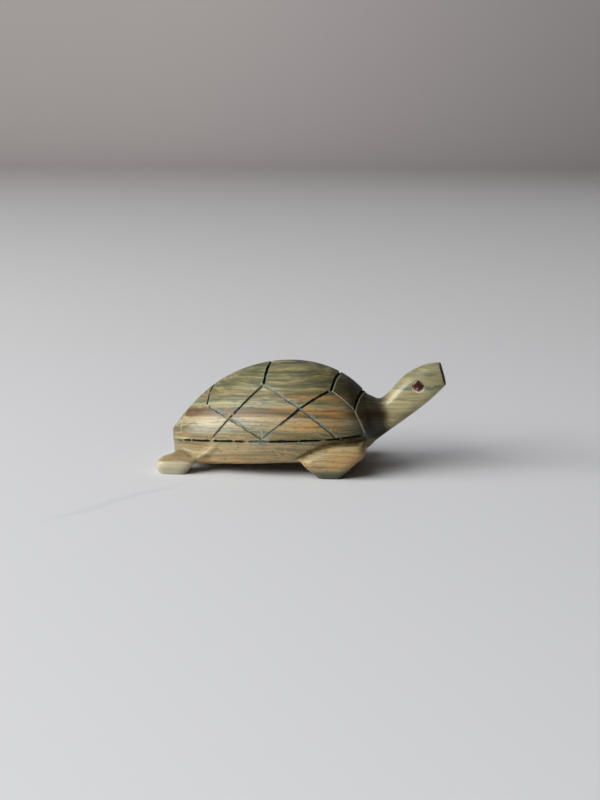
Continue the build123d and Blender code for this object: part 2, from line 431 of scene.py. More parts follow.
@dataclass(frozen=True)
class CarvedWood:
    """The oiled wood: level layers of olive, tan and red-brown, fine wavy lines, and dark green pores."""

    eye: Vector
    snout_lean: float
    snout_reach: float
    top: float = 37.4
    tilt: float = 0.16
    tilt_from: float = -21.0
    long_wave: float = 1.6
    short_wave: float = 0.7
    layer_drift: float = 0.036
    figure_pitch: float = 1.3
    figure_drift: float = 7.0
    knot_drift_along: float = 16.0
    knot_drift_up: float = 2.4
    blot_raggedness: float = 3.2
    ring_radius: float = 2.02
    ring_unevenness: float = 1.5
    polish: float = 0.32
    head_polish: float = 0.10
    oil: float = 1.48
    dullness: float = 0.22
    knots: tuple[Lens, ...] = (Lens(-17.0, 23.2, 6.0, 1.2), Lens(-5.0, 23.8, 8.0, 1.3))
    eye_blots: tuple[Lens, ...] = (
        Lens(-4.2, -0.8, 2.3, 0.55),
        Lens(3.2, -0.8, 1.7, 0.65),
        Lens(5.9, -0.3, 1.1, 0.50),
        Lens(3.6, 3.7, 2.7, 0.50),
        Lens(-5.0, -4.4, 2.6, 0.40),
    )

    def layer(self, bench: Bench) -> Signal:
        """The height of a place on the wood's layers, which sink a little toward the turtle's left."""
        return bench.z + (bench.y - self.tilt_from) * self.tilt

    def eye_reach(self, bench: Bench) -> Signal:
        """How far a place is from the eyes, seen from the side."""
        return (bench.x - self.eye.x).diagonal(bench.z - self.eye.z)

    def grain(self, bench: Bench) -> Grain:
        """Bends the layers the way the tree grew.

        Args:
            bench: The material's tree.

        Returns:
            The grain.
        """
        swell = bench.noise(bench.place, (0.022, 0.05, 0.06), 1.0)
        ripple = bench.noise(bench.place, (0.10, 0.14, 0.30))
        bent = (swell - 0.5) * self.long_wave + (ripple - 0.5) * self.short_wave
        height = self.layer(bench) + bent
        place = bench.join(bench.x, bench.y, height)
        return Grain(place, height, bench.noise(place, (0.04, 0.07, 0.24), 1.0))

    def layers(self, bench: Bench, grain: Grain) -> None:
        """Lays the level layers, with long streaks and fine threads along them.

        Args:
            bench: The material's tree.
            grain: The wood's grain.
        """
        broad = bench.noise(grain.place, (0.008, 0.016, 0.34))
        level = grain.height / self.top + (broad - 0.5) * self.layer_drift
        bench.base = bench.node("ShaderNodeValToRGB", {"stops": LAYER_STOPS}, {0: level})
        streaks = bench.noise(grain.place, (0.020, 0.05, 0.70), 3.0, 0.65)
        bench.lay(streaks.ramp(0.50, 0.68) * 0.46, (174, 162, 122))
        bench.lay(streaks.ramp(0.50, 0.32) * 0.58, (58, 63, 45))
        threads = bench.noise(grain.place, (0.045, 0.12, 1.5), 2.0, 0.6)
        bench.lay(threads.ramp(0.52, 0.70) * 0.30, (182, 172, 136))
        bench.lay(threads.ramp(0.49, 0.32) * 0.40, (50, 56, 42))

    def figure(self, bench: Bench, grain: Grain) -> None:
        """Lays the wavy figure of the growth rings, with a few lenses where they close.

        Args:
            bench: The material's tree.
            grain: The wood's grain.
        """
        pale, dark, green = (178, 174, 140), (66, 76, 60), (80, 100, 86)
        eddies = bench.noise(grain.place, (0.050, 0.08, 0.20))
        lines = (grain.height / self.figure_pitch + eddies * self.figure_drift).wave()
        strength = grain.patches.ramp(0.44, 0.64)
        bench.lay(lines.ramp(0.60, 0.98) * strength * 0.24, pale)
        bench.lay(lines.ramp(0.40, 0.02) * strength * 0.30, dark)
        for knot in self.knots:
            along = (bench.x - knot.x + (eddies - 0.5) * self.knot_drift_along) / knot.length
            up = (grain.height - knot.z + (grain.patches - 0.5) * self.knot_drift_up) / knot.height
            reach = along.diagonal(up)
            rings = (reach * 1.5 + eddies).wave()
            inside = reach.ramp(1.3, 0.7)
            bench.lay(rings.ramp(0.55, 0.95) * inside * 0.26, pale)
            bench.lay(rings.ramp(0.45, 0.05) * inside * 0.34, green)

    def flecks(self, bench: Bench, grain: Grain) -> None:
        """Lays the short marks: blue-green dashes, orange bloom, amber that also paints light on the
        shell's right middle, the wall's mottle and dark pores.

        Args:
            bench: The material's tree.
            grain: The wood's grain.
        """
        x, z = bench.x, bench.z
        near_eye = self.eye_reach(bench).ramp(9.5, 3.0)
        dashes = bench.noise(grain.place, (0.22, 0.40, 1.25), 2.0, 0.55)
        dash = (dashes + near_eye * 0.11).ramp(0.56, 0.65)
        dash = dash * (grain.patches.ramp(0.58, 0.40) * 0.6 + near_eye * 1.1)
        bench.lay(dash.clamped() * 0.80, (54, 76, 70))
        bloom = bench.noise(grain.place, (0.15, 0.28, 0.95))
        bench.lay(bloom.ramp(0.55, 0.70) * z.ramp(22.0, 17.0) * 0.26, (174, 118, 70))
        # Amber streaks over the shell's middle, laid strong enough to paint light on its right middle as
        # well.
        amber_and_painted_light = bench.noise(grain.place, (0.020, 0.03, 0.42), 2.0, 0.6).ramp(0.36, 0.58)
        amber_and_painted_light = amber_and_painted_light * x.band(-12.0, 5.0, 11.0, 17.0) * z.band(13.2, 16.4, 23.0, 28.0)
        bench.lay(amber_and_painted_light * 0.66, (210, 156, 88))
        mottle = bench.noise(grain.place, (0.42, 0.5, 1.0), 2.0, 0.6)
        wall = z.ramp(11.6, 9.6) * x.band(-36.0, -28.0, 0.0, 8.0)
        bench.lay(mottle.ramp(0.46, 0.32) * wall * 0.50, (104, 110, 86))
        bench.lay(mottle.ramp(0.55, 0.68) * wall * 0.34, (186, 146, 104))
        pores = bench.noise(grain.place, (0.5, 1.2, 2.2), 1.0)
        bench.lay(pores.ramp(0.61, 0.71) * 0.44, (54, 56, 42))

    def regions(self, bench: Bench) -> None:
        """Lays the broad differences between parts of the block, with painted shade at the collar, the
        front scute and the shell's upper part, and partly painted light on the head.

        Args:
            bench: The material's tree.
        """
        x, z = bench.x, bench.z
        layer = self.layer(bench)
        tail_band = layer.band(18.0, 19.2, 21.0, 22.2) * x.ramp(-15.0, -29.0)
        bench.lay(tail_band * 0.58, (82, 60, 38))
        low_band = layer.band(12.8, 13.8, 14.6, 15.6) * x.ramp(-27.0, -36.0)
        bench.lay(low_band * 0.52, (84, 70, 46))
        rear_wall = z.band(4.4, 5.4, 8.4, 9.6) * x.ramp(-30.0, -36.0)
        bench.lay(rear_wall * 0.36, (104, 90, 62))
        foot = x.ramp(-30.5, -33.0) * z.ramp(4.6, 3.8)
        bench.lay(foot * 0.60, (190, 182, 158))
        # Paler head, stronger low on the head and at the cheek: partly the wood's own tone, partly painted
        # light on the head's side.
        head = x.ramp(25.0, 28.5) * z.ramp(11.0, 14.0)
        bench.lay(head * (z.ramp(30.5, 27.0) * 0.20 + 0.28), (198, 185, 138))
        bench.lay(head * x.ramp(34.5, 38.0) * 0.30, (206, 198, 152))
        shin = x.ramp(5.0, 14.0) * z.band(2.6, 4.2, 8.4, 10.0)
        bench.lay(shin * 0.32, (184, 140, 80))
        strands = bench.noise(bench.place, (0.075, 0.16, 1.15), 2.0, 0.6)
        grained = (head * 0.6 + z.ramp(21.0, 26.0) * x.ramp(22.0, 18.0)).clamped()
        bench.lay(strands.ramp(0.50, 0.36) * grained * 0.52, (64, 80, 60))
        bench.lay(strands.ramp(0.53, 0.68) * grained * 0.38, (198, 182, 118))
        sole = x.ramp(-1.0, 3.0) * z.ramp(3.6, 1.4)
        bench.lay(sole * 0.80, (62, 68, 48))
        # Painted shade over the shell's upper front, and half as strong over its upper rear.
        upper_front_painted_shade = x.ramp(0.0, 13.0) * z.ramp(23.0, 28.0)
        upper_rear_painted_shade = x.ramp(-10.0, -16.0) * z.ramp(22.0, 25.0)
        bench.lay((upper_front_painted_shade + upper_rear_painted_shade * 0.5) * 0.34, (58, 56, 34))
        # Painted shade: the front scute and the collar at the neck's root go dark brown for the shade that
        # lies there.
        above = z - 20.0
        scute_painted_shade = (x + z).ramp(34.4, 37.0) * (x - (z - 25.5) * 0.7).ramp(8.2, 9.8) * z.ramp(18.5, 21.5)
        collar_painted_shade = ((x + above * 0.30).ramp(13.8, 20.2) + scute_painted_shade * 0.46).clamped()
        collar_painted_shade = collar_painted_shade * (x + above * 0.26).ramp(27.4, 24.0) * z.ramp(8.8, 11.4)
        bench.lay(collar_painted_shade * (z.ramp(22.0, 17.0) * 0.12 + 0.82), (31, 23, 12))

    def eye_marks(self, bench: Bench) -> None:
        """Lays the blue-green blots beside the eyes and the broken pale ring of bare wood round them.

        Args:
            bench: The material's tree.
        """
        aside, over = bench.x - self.eye.x, bench.z - self.eye.z
        torn = bench.noise(bench.place, (0.45, 0.45, 1.3), 2.0, 0.6) - 0.5
        for blot in self.eye_blots:
            reach = ((aside - blot.x) / blot.length).diagonal((over - blot.z) / blot.height)
            bench.lay((reach + torn * self.blot_raggedness).ramp(1.25, 0.55) * 0.58, (76, 98, 88))
        uneven = bench.noise(bench.place, (0.8, 0.8, 0.8), 1.0) - 0.5
        reach = self.eye_reach(bench) + uneven * self.ring_unevenness
        ring = reach.ramp(self.ring_radius + 0.10, self.ring_radius - 0.10)
        broken = bench.noise(bench.place, (0.55, 0.55, 0.55), 1.0).ramp(0.44, 0.58)
        broken = (broken + over.ramp(-0.2, -1.4)).clamped()
        bench.lay(ring * (broken * 0.75 + 0.1), (208, 196, 176))

    def material(self) -> bpy.types.Material:
        """Makes the material, with the snout's dark end grain and the painted shade on its sawn face, and
        what the cuts hold, which also paints shade and light in them.

        Returns:
            The material.
        """
        bench = Bench("carved_wood")
        grain = self.grain(bench)
        self.layers(bench, grain)
        self.figure(bench, grain)
        self.flecks(bench, grain)
        self.regions(bench)
        self.eye_marks(bench)

        # The sawn snout: dark end grain, darkened further to paint the shade on this face.
        lean = math.radians(self.snout_lean)
        beyond = bench.x * math.cos(lean) + bench.z * math.sin(lean) - self.snout_reach
        snout = beyond.ramp(-0.16, -0.06)
        bench.lay(snout * 0.90, (66, 38, 28))
        soot, dust, bare = [bench.attribute(name) for name in MARK_NAMES]
        grit = bench.noise(bench.place, (1.5, 1.5, 1.5), 2.0, 0.7)
        # Pale bare wood, which on the pale cuts and lips also paints their lit walls.
        bench.lay(bare.ramp(0.1, 0.8) * (grit * 0.6 + 0.45), (194, 189, 164))
        # The cuts' near-black fill: soot together with painted shade in their depth.
        ragged = (soot + (grit - 0.5) * 0.8).ramp(0.28, 0.55) * (soot * 0.85 + 0.15)
        bench.lay(ragged, bench.mix(grit, (10, 12, 10), (36, 42, 34)))
        powdered = (dust * (grit * 1.3 + 0.2)).ramp(0.24, 0.85)
        bench.lay(powdered, bench.mix(grit.ramp(0.3, 0.75), (66, 82, 76), (140, 150, 140)))

        wear = bench.noise(grain.place, (0.05, 0.12, 1.1), 2.0, 0.6)
        head_polish = bench.x.ramp(24.0, 28.0) * self.head_polish
        rough = self.polish + wear * 0.12 + powdered * 0.4 - head_polish
        relief = bench.bump(wear * 0.6 + grit * powdered * 0.8, 0.22, 0.00012)
        sheen = bench.surface(rough.clamped(), Normal=relief, IOR=self.oil)
        dull = bench.node("ShaderNodeBsdfDiffuse", None, {"Color": bench.base})
        factor = (snout + ragged).clamped() * 0.68 + self.dullness
        return bench.finish(bench.node("ShaderNodeMixShader", None, {0: factor, 1: sheen, 2: dull}))


@dataclass(frozen=True)
class EyeWood:
    """The eye pegs' hard red-brown wood, with a painted reflection low down and glue in the crown's
    corners.
    """

    eye: Vector
    heart: ScreenColour = (70, 24, 20)
    sap: ScreenColour = (36, 12, 11)
    painted_glint_aside: float = 0.25
    polish: float = 0.34
    oil: float = 1.36

    def material(self) -> bpy.types.Material:
        """Makes the material.

        Returns:
            The material.
        """
        bench = Bench("eye_wood")
        grain = bench.noise(bench.place, (0.7, 0.5, 4.2), 3.0, 0.6)
        bench.base = bench.mix(grain.ramp(0.35, 0.68), self.sap, self.heart)
        specks = bench.noise(bench.place, (3.0, 3.0, 9.0), 1.0)
        bench.lay(specks.ramp(0.62, 0.75) * 0.5, (38, 12, 12))
        aside, over = bench.x - self.eye.x, bench.z - self.eye.z
        # Painted reflection: a pale pink patch low on the crown, where it would mirror the bright table.
        off_painted_glint = aside + self.painted_glint_aside
        painted_glint = over.ramp(-0.2, -0.7) * (off_painted_glint * off_painted_glint).ramp(0.22, 0.06)
        bench.lay(painted_glint * 0.8, (150, 108, 98))
        corner = (aside.absolute() + over.absolute()).ramp(1.78, 2.05)
        bench.lay(corner * 0.85, (190, 172, 144))
        relief = bench.bump(grain, 0.2, 0.00008)
        return bench.finish(bench.surface(grain * 0.12 + self.polish, Normal=relief, IOR=self.oil))


@dataclass(frozen=True)
class TableFinish:
    """The pale painted surface that runs up into the grey backdrop, with one faint vein."""

    near: ScreenColour = (214, 215, 218)
    far: ScreenColour = (227, 227, 227)
    wall_left: ScreenColour = (217, 210, 209)
    wall_right: ScreenColour = (176, 171, 171)
    vein_x: float = -49.0
    vein_y: float = -60.0
    vein_run: tuple[float, float] = (0.490, 0.872)
    vein_stray: float = 14.0

    def material(self) -> bpy.types.Material:
        """Makes the material.

        Returns:
            The material.
        """
        bench = Bench("table")
        x, y = bench.x, bench.y
        wall = bench.mix(x.ramp(-500.0, 500.0), self.wall_left, self.wall_right)
        bench.base = bench.mix(y.ramp(-150.0, 1500.0), self.near, self.far)
        bench.lay(y.ramp(1100.0, 2100.0), wall)
        haze = bench.noise(bench.place, (0.006, 0.006, 0.006))
        bench.lay(haze * 0.05, (196, 198, 206))
        stray_off = (bench.noise(bench.place, (0.03, 0.03, 0.03)) - 0.5) * self.vein_stray
        aside, ahead = x - self.vein_x, y - self.vein_y
        across = aside * self.vein_run[1] - ahead * self.vein_run[0] + stray_off
        along = aside * self.vein_run[0] + ahead * self.vein_run[1]
        vein = (across * across).ramp(9.0, 0.0) * (along * along).ramp(1300.0, 250.0)
        bench.lay(vein * 0.16, (172, 176, 190))
        return bench.finish(bench.surface(haze * 0.15 + 0.50, **{"Specular IOR Level": 0.25}))


@dataclass(frozen=True)
class Ring:
    """One section of a form: a rounded rectangle about a centre."""

    centre: Vector
    across: Vector
    up: Vector
    squareness: float
    upper_squareness: float

    def point(self, angle: float) -> Vector:
        """A point of the section.

        Args:
            angle: The direction from its centre.

        Returns:
            The point.
        """
        c, s = math.cos(angle), math.sin(angle)
        power = self.upper_squareness if s > 0.0 else self.squareness
        reach = (abs(c) ** power + abs(s) ** power) ** (-1.0 / power)
        return self.centre + self.across * (c * reach) + self.up * (s * reach)


def extruded(form: bmesh.types.BMesh, edges: list[bmesh.types.BMEdge]) -> tuple[set, list]:
    """Extrudes a row of edges, with the new row still where the old one is.

    Args:
        form: The form.
        edges: The row.

    Returns:
        The points and the edges of the new row.
    """
    grown = bmesh.ops.extrude_edge_only(form, edges=edges)["geom"]
    verts = {item for item in grown if isinstance(item, bmesh.types.BMVert)}
    new_edges = [item for item in grown if isinstance(item, bmesh.types.BMEdge)]
    return verts, [edge for edge in new_edges if edge.verts[0] in verts and edge.verts[1] in verts]


def ring_form(rings: list[Ring], segments: int) -> bmesh.types.BMesh:
    """Extrudes one closed loop through all the rings and closes its two ends.

    Args:
        rings: The sections in order.
        segments: How many points each has.

    Returns:
        The closed form.
    """
    form = bmesh.new()
    made = bmesh.ops.create_circle(form, cap_ends=True, segments=segments, radius=1.0)
    angles = {vert: math.atan2(vert.co.y, vert.co.x) for vert in made["verts"]}
    for vert, angle in angles.items():
        vert.co = rings[0].point(angle)
    edges = list(form.edges)
    for ring in rings[1:]:
        verts, edges = extruded(form, edges)
        risen = {}
        for vert, angle in angles.items():
            for edge in vert.link_edges:
                other = edge.other_vert(vert)
                if other in verts:
                    risen[other] = angle
        for vert, angle in risen.items():
            vert.co = ring.point(angle)
        angles = risen
    bmesh.ops.edgeloop_fill(form, edges=edges)
    bmesh.ops.recalc_face_normals(form, faces=form.faces)
    return form


@dataclass
class ShellForm:
    """The shell: a low dome, steeper before its crest than behind it, over a wall that tucks in below."""

    crest_x: float = -4.0
    rear: float = 38.6
    front: float = 28.0
    half_width: float = 22.5
    dome_height: float = 22.3
    rim_height: float = 11.5
    belly_height: float = 4.25
    belly_slope: float = 0.047
    belly_low: float = 2.5
    belly_high: float = 4.3
    rear_tuck: float = 0.6
    side_tuck: float = 1.8
    rear_side_tuck: float = 1.0
    front_tuck: float = 6.6
    rear_roundness: float = 1.02
    rear_fullness: float = 0.33
    belly_squareness: float = 14.0
    rear_squareness: float = 30.0
    rear_blend: float = -0.6
    segments: int = 160
    rows: int = 110

    def reach(self, level: float) -> tuple[float, float, float]:
        """How far the dome reaches.

        Args:
            level: The share of its height.

        Returns:
            Its reach to the rear, to the front and to each side.
        """
        level = min(max(level, 0.0), 1.0)
        round_off = math.sqrt(max(1.0 - level * level, 0.0))
        power = self.rear_roundness + self.rear_fullness * level
        rear = self.rear * math.sqrt(max(1.0 - level**power, 0.0))
        return rear, self.front * round_off, self.half_width * round_off

    def point(self, level: float, bearing: float) -> Vector:
        """A point on the right half of the dome.

        Args:
            level: Its share of the dome's height.
            bearing: Its bearing from +X in degrees.

        Returns:
            The point.
        """
        rear, front, side = self.reach(level)
        turn = math.radians(bearing)
        along = (front if bearing < 90.0 else rear) * math.cos(turn)
        height = self.rim_height + self.dome_height * level
        return Vector((self.crest_x + along, -side * math.sin(turn), height))

    def place(self, unit: Vector) -> Vector:
        """Where a point of the unit sphere comes to lie on the shell.

        Args:
            unit: The point.

        Returns:
            Its place on the dome, the wall or the belly.
        """
        flat = math.hypot(unit.x, unit.y)
        c, s = (unit.x / flat, unit.y / flat) if flat > 1e-9 else (1.0, 0.0)
        if unit.z >= 0.0:
            rear, front, side = self.reach(unit.z)
            height = self.rim_height + self.dome_height * unit.z
            return Vector((self.crest_x + (front if c > 0.0 else rear) * c, side * s, height))
        rearward = smooth_step(0.0, self.rear_blend, c)
        power = self.belly_squareness + (self.rear_squareness - self.belly_squareness) * rearward
        tuck = self.side_tuck + (self.rear_side_tuck - self.side_tuck) * rearward
        drop = -unit.z
        size = (flat**power + drop**power) ** (-1.0 / power)
        share, spread = drop * size, flat * size
        front = (self.front - self.front_tuck * share**2) * spread
        rear = (self.rear - self.rear_tuck * share**2) * spread
        side = (self.half_width - tuck * share**2) * spread
        x = self.crest_x + (front if c > 0.0 else rear) * c
        belly = min(max(self.belly_height + self.belly_slope * x, self.belly_low), self.belly_high)
        return Vector((x, side * s, self.rim_height - (self.rim_height - belly) * share))

    def build(self) -> bmesh.types.BMesh:
        """Makes the shell.

        Returns:
            A closed form.
        """
        form = bmesh.new()
        bmesh.ops.create_uvsphere(form, u_segments=self.segments, v_segments=self.rows, radius=1.0)
        for vert in form.verts:
            vert.co = self.place(vert.co)
        bmesh.ops.recalc_face_normals(form, faces=form.faces)
        return form


@dataclass(frozen=True)
class NeckSection:
    """One section of the neck: its place along the throat line, its lean, its sizes and how far it sags."""

    along: float
    lean: float
    thickness: float
    width: float
    sag: float
    squareness: float


@dataclass
class NeckForm:
    """The neck and head, on a throat line that climbs from the chest to the chin."""

    chest_x: float = 22.4
    chest_height: float = 8.3
    climb: float = 41.0
    snout_along: float = 29.585
    snout_lean: float = 16.0
    eye_along: float = 22.9
    eye_up: float = 4.9
    crown_squareness: float = 2.9
    steps: int = 60
    segments: int = 64
    sections: tuple[NeckSection, ...] = (
        NeckSection(-6.0, 11.0, 15.6, 21.5, 0.0, 3.6),
        NeckSection(0.0, 11.0, 14.6, 16.5, 0.0, 3.4),
        NeckSection(6.4, 22.0, 10.3, 12.6, 0.4, 3.4),
        NeckSection(11.1, 41.0, 9.7, 10.5, 0.8, 3.2),
        NeckSection(21.0, 41.0, 11.1, 10.7, 1.3, 3.3),
        NeckSection(27.4, 41.0, 9.6, 9.9, 1.0, 3.5),
        NeckSection(32.4, 41.0, 6.2, 8.4, 0.4, 3.6),
    )

    def throat(self, along: float, up: float) -> Vector:
        """A point in the middle plane.

        Args:
            along: Its distance along the throat line.
            up: Its distance square above that line.

        Returns:
            The point.
        """
        turn = math.radians(self.climb)
        x = self.chest_x + along * math.cos(turn) - up * math.sin(turn)
        z = self.chest_height + along * math.sin(turn) + up * math.cos(turn)
        return Vector((x, 0.0, z))

    def eye(self) -> Vector:
        """The middle of the eyes, in the middle plane."""
        return self.throat(self.eye_along, self.eye_up)

    def snout(self) -> Vector:
        """The lowest point of the sawn snout, on the throat line."""
        return self.throat(self.snout_along, 0.0)

    def snout_reach(self) -> float:
        """How far the sawn snout lies from the origin, square to its face.

        Returns:
            The distance.
        """
        turn = math.radians(self.snout_lean)
        snout = self.snout()
        return snout.x * math.cos(turn) + snout.z * math.sin(turn)

    def build(self) -> bmesh.types.BMesh:
        """Makes the neck and head, longer than the sawn snout.

        Returns:
            A closed form.
        """
        rings = []
        curve = Curve(*map(astuple, self.sections))
        for along, lean, thickness, width, sag, squareness in curve.spread(self.steps):
            turn = math.radians(lean)
            up = Vector((-math.sin(turn), 0.0, math.cos(turn)))
            centre = self.throat(along, -sag) + up * (thickness / 2.0)
            across = Vector((0.0, width / 2.0, 0.0))
            rings.append(Ring(centre, across, up * (thickness / 2.0), squareness, self.crown_squareness))
        return ring_form(rings, self.segments)


@dataclass(frozen=True)
class LevelSection:
    """One level section of a limb: its height and its reach in X and in distance from the middle plane."""

    height: float
    rear: float
    front: float
    inner: float
    outer: float
    squareness: float = 4.5


@dataclass
class LimbForm:
    """A leg or foot, drawn as level sections from below its sole up into the body."""

    sections: list[LevelSection]
    steps: int = 40
    segments: int = 56

    def build(self, side: Side) -> bmesh.types.BMesh:
        """Makes the limb.

        Args:
            side: Which side.

        Returns:
            A closed form.
        """
        rings = []
        curve = Curve(*map(astuple, self.sections))
        for height, rear, front, inner, outer, squareness in curve.spread(self.steps):
            centre = Vector(((rear + front) / 2.0, side * (inner + outer) / 2.0, height))
            along = Vector(((front - rear) / 2.0, 0.0, 0.0))
            outward = Vector((0.0, (outer - inner) / 2.0, 0.0))
            rings.append(Ring(centre, along, outward, squareness, squareness))
        return ring_form(rings, self.segments)


def front_leg() -> LimbForm:
    """The front leg: a lobe that stands out from the chest and narrows down to its sole.

    Returns:
        The leg.
    """
    return LimbForm(
        [
            LevelSection(-0.8, 6.6, 13.4, 10.0, 21.8),
            LevelSection(0.0, 6.2, 13.8, 10.0, 22.2),
            LevelSection(1.0, 5.1, 14.8, 10.0, 22.9),
            LevelSection(2.6, 3.2, 16.4, 10.0, 23.5),
            LevelSection(4.6, 1.2, 18.3, 10.0, 23.9),
            LevelSection(5.5, 1.2, 19.5, 10.0, 23.9),
            LevelSection(7.0, 3.6, 21.0, 10.0, 23.7),
            LevelSection(8.7, 7.8, 21.4, 10.0, 23.2),
            LevelSection(9.9, 11.4, 20.6, 10.0, 22.2),
            LevelSection(10.6, 14.4, 19.8, 10.0, 19.8),
        ]
    )


def hind_foot(shorter: float) -> LimbForm:
    """The hind foot: a paddle that reaches back from under the shell, flat on top with a crisp outer edge.

    Args:
        shorter: How much less far it reaches back than the longer of the two.

    Returns:
        The foot.
    """
    rear = -45.1 + shorter
    return LimbForm(
        [
            LevelSection(-0.8, rear + 1.5, -35.6, 10.2, 20.5),
            LevelSection(0.0, rear + 1.2, -35.2, 10.2, 20.7),
            LevelSection(1.5, rear + 0.2, -34.3, 10.0, 20.9),
            LevelSection(2.8, rear, -33.2, 9.6, 21.0),
            LevelSection(3.7, rear + 0.2, -32.3, 9.2, 21.0),
            LevelSection(4.2, rear + 1.2, -33.0, 9.0, 20.7),
            LevelSection(4.5, rear + 2.6, -34.2, 8.6, 18.8),
            LevelSection(4.9, rear + 3.9, -34.8, 7.8, 16.0),
            LevelSection(5.6, rear + 5.4, -34.6, 6.8, 13.0),
            LevelSection(6.6, rear + 7.4, -33.4, 5.0, 10.4),
        ]
    )


def thigh() -> LimbForm:
    """The thigh: the wall's swelling before a hind foot, with a rear edge that leans forward to the rim.

    Returns:
        The thigh.
    """
    return LimbForm(
        [
            LevelSection(2.6, -34.4, -24.0, 6.0, 15.8, 8.0),
            LevelSection(4.4, -34.2, -24.0, 6.0, 16.2, 8.0),
            LevelSection(5.3, -31.9, -24.0, 6.0, 17.1, 8.0),
            LevelSection(7.0, -29.7, -23.0, 6.0, 18.1, 8.0),
            LevelSection(8.8, -27.4, -22.0, 6.0, 18.6, 8.0),
        ]
    )


@dataclass(frozen=True)
class HaunchScoop:
    """The hollow that a gouge left in the wall over a hind foot, behind the thigh's edge."""

    low_x: float = -34.4
    low_height: float = 4.6
    high_x: float = -27.6
    high_height: float = 8.9
    depth: float = 0.6
    edge: float = 0.35
    length: float = 7.5
    full_length: float = 1.5
    ceiling: float = 9.6
    ceiling_fade: float = 1.4
    reach_below: float = 1.2
    floor_from: float = -0.2
    floor_to: float = 1.8
    near_wall: float = 0.4
    off_wall: float = 1.4

    def sink(self, place: Vector, shell: ShellForm) -> float:
        """How far the gouge sinks a place on the wall.

        Args:
            place: The place.
            shell: The shell, whose outline tells the wall from the foot.

        Returns:
            The depth.
        """
        if place.x > self.high_x or not self.low_height - self.reach_below < place.z < self.ceiling:
            return 0.0
        outline = 1.0 - ((place.x - shell.crest_x) / shell.rear) ** 2
        wall = shell.half_width * math.sqrt(max(outline, 0.0))
        if abs(place.y) > wall + self.off_wall:
            return 0.0
        run = math.hypot(self.high_x - self.low_x, self.high_height - self.low_height)
        behind = (place.z - self.low_height) * (self.high_x - self.low_x)
        behind = (behind - (place.x - self.low_x) * (self.high_height - self.low_height)) / run
        share = smooth_step(-self.edge, self.edge, behind)
        share *= smooth_step(self.length, self.full_length, behind)
        share *= smooth_step(wall + self.off_wall, wall + self.near_wall, abs(place.y))
        share *= smooth_step(self.low_height + self.floor_from, self.low_height + self.floor_to, place.z)
        return self.depth * share * smooth_step(self.ceiling, self.ceiling - self.ceiling_fade, place.z)


@dataclass(frozen=True)
class LegCrease:
    """The groove that a gouge left in the wall along the top of a front leg."""

    depth: float = 1.3
    above: float = 1.3
    below: float = 0.5
    floor: tuple[float, float] = (0.1, 0.2)
    rear_fade: float = 4.0
    front_fade: float = 3.0
    line: Curve = Curve(
        (-2.0, 4.8), (1.5, 6.3), (4.2, 7.8), (8.5, 9.5), (13.2, 10.5), (18.0, 10.7), (22.0, 10.7)
    )

    def sink(self, place: Vector, shell: ShellForm) -> float:
        """How far the gouge sinks a place on the wall.

        Args:
            place: The place.
            shell: The shell, whose rim the groove stays under.

        Returns:
            The depth.
        """
        rear, front = self.line.rows[0][0], self.line.rows[-1][0]
        if not rear < place.x < front or place.z > shell.rim_height:
            return 0.0
        lift = place.z - self.line.at(place.x)[0]
        share = smooth_step(-self.below, self.floor[0], lift) * smooth_step(self.above, self.floor[1], lift)
        share *= smooth_step(rear, rear + self.rear_fade, place.x)
        return self.depth * share * smooth_step(front, front - self.front_fade, place.x)


class Fill(Enum):
    """What a cut shows inside: soot with painted shade in its depth, polishing dust with a dark lower edge,
    or bare wood that paints the cut's lit wall, with painted shade on its rear wall.
    """

    SOOT = "soot"
    DUST = "dust"
    BARE = "bare"


@dataclass(frozen=True)
class Mark:
    """How a cut marks one place: how deep it is there, how sooty with painted shade, how dusty, and how
    bare with painted light.
    """

    depth: float
    soot: float
    dust: float
    bare: float


@dataclass(frozen=True)
class CutLine:
    """A straight cut over the dome, from one point to another, each a share of the height and a bearing."""

    start: tuple[float, float]
    end: tuple[float, float]
    width: float
    taper: float
    depth: float
    fill: Fill
    start_over: float = 0.3
    end_over: float = 0.3
    pale_lip: float = 0.0
    fade: float = 0.0
    gaps: tuple[tuple[float, float], ...] = ()
    blackness: float = 1.0


RIDGE_TAIL = (0.249, 180.0)
RIDGE_REAR = (0.64, 180.0)
RIDGE_MIDDLE = (0.978, 180.0)
RIDGE_FRONT = (0.833, 0.0)
RIDGE_NAPE = (0.575, 0.0)
FLANK_REAR = (0.42, 147.0)
FLANK_MIDDLE = (0.735, 109.5)
FLANK_FRONT = (0.665, 49.0)
FLANK_NAPE = (0.39, 35.5)
RIM_TAIL = (0.0, 153.5)
RIM_REAR = (0.0, 126.5)
RIM_MIDDLE = (0.03, 100.0)
RIM_FRONT = (0.04, 55.0)
RIM_NAPE = (0.03, 29.5)

